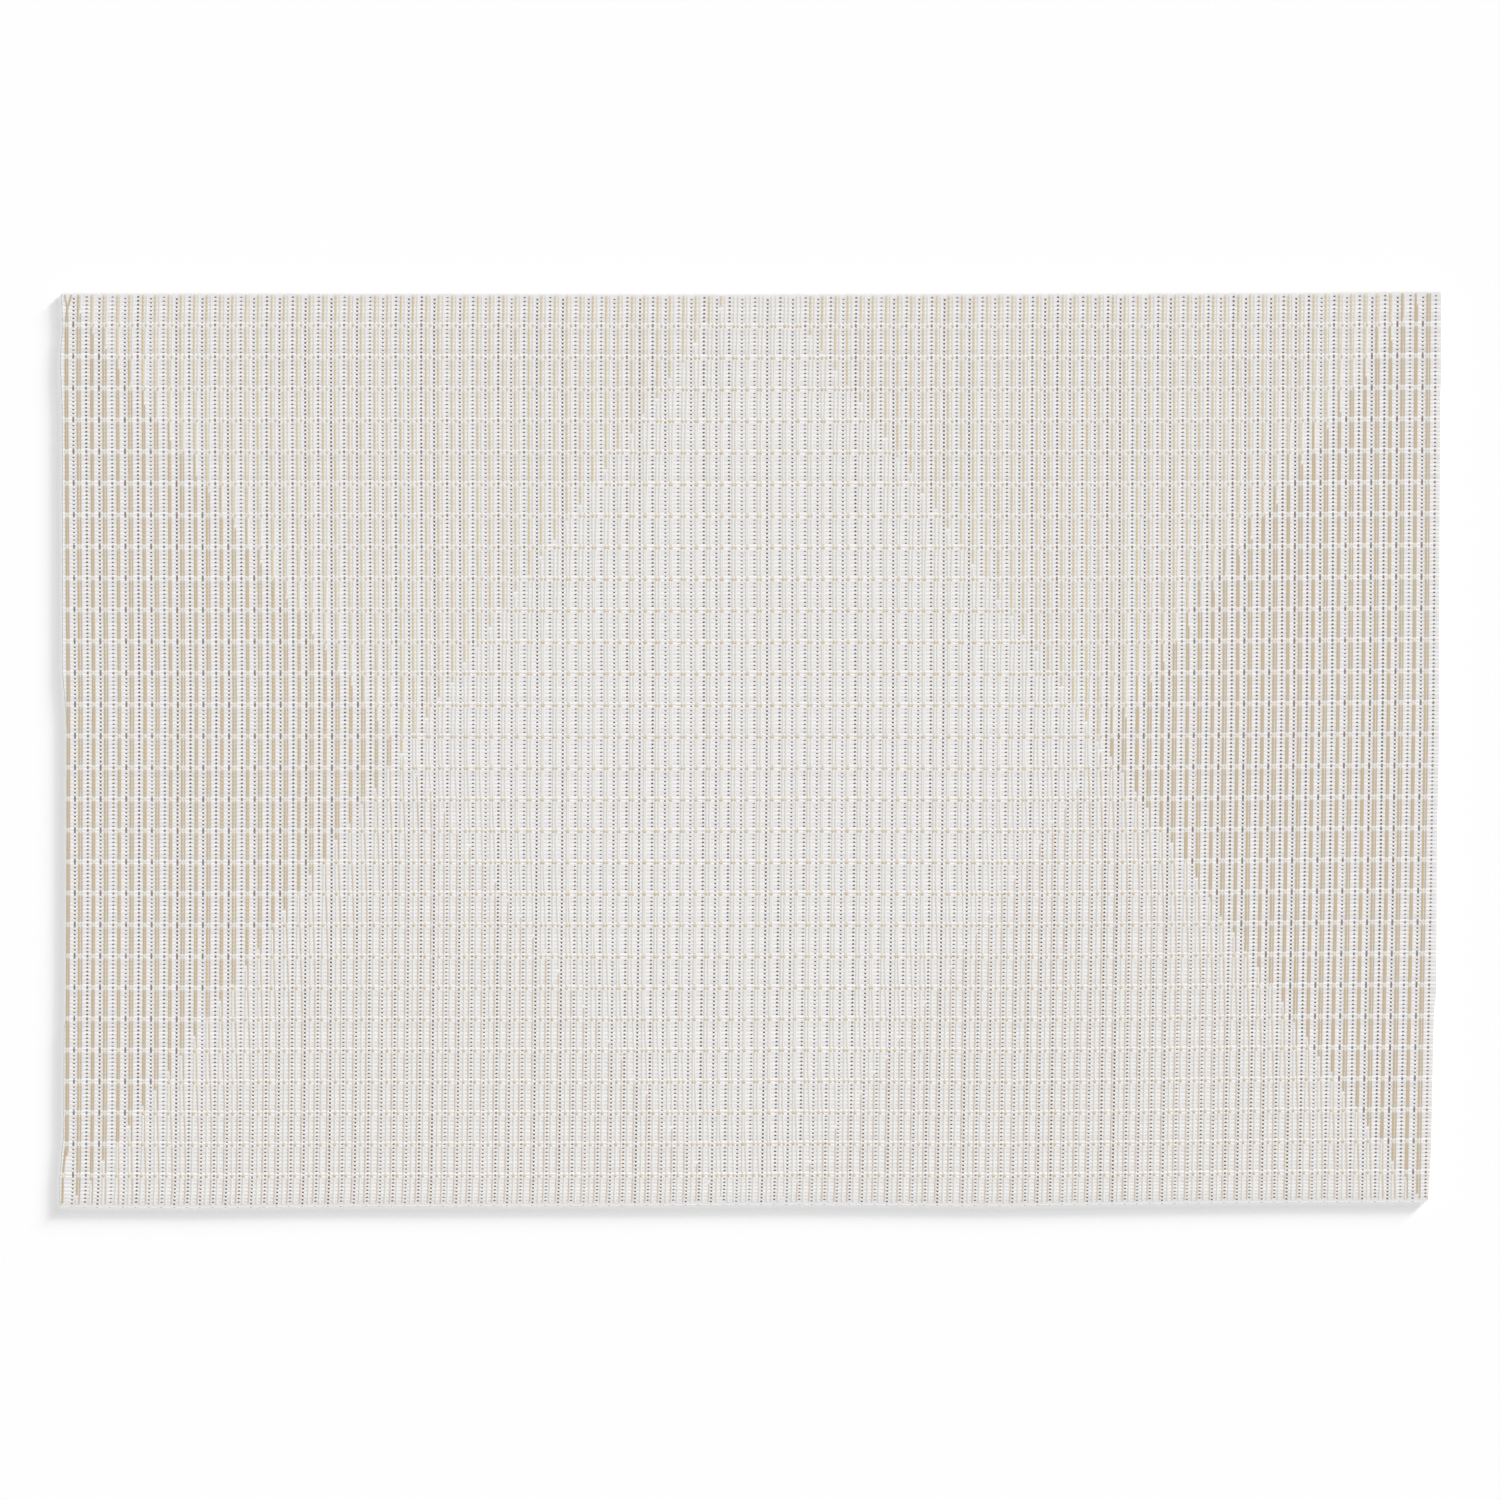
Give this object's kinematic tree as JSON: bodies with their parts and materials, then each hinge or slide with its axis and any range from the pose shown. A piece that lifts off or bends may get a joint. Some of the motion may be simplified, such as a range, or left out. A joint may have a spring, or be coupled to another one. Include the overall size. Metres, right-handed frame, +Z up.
{
  "type": "placemat",
  "caption": "Rectangular woven placemat of coated yarn with ribbed tie rows and cut edges, to lie flat on a table under a place setting.",
  "frame": {"origin": "middle of the mat's outline, on the flat underside that lies on the table", "axes": "+X along the mat's length, +Y along its width towards the edge at the top of the picture, +Z up out of its face"},
  "size_m": [0.459, 0.3046, 0.0015],
  "materials": {
    "white_yarn": "satin",
    "tan_yarn": "satin",
    "mauve_yarn": "satin"
  },
  "bodies": {
    "root": {"mat_cloth": "white_yarn"}
  },
  "joints": []
}
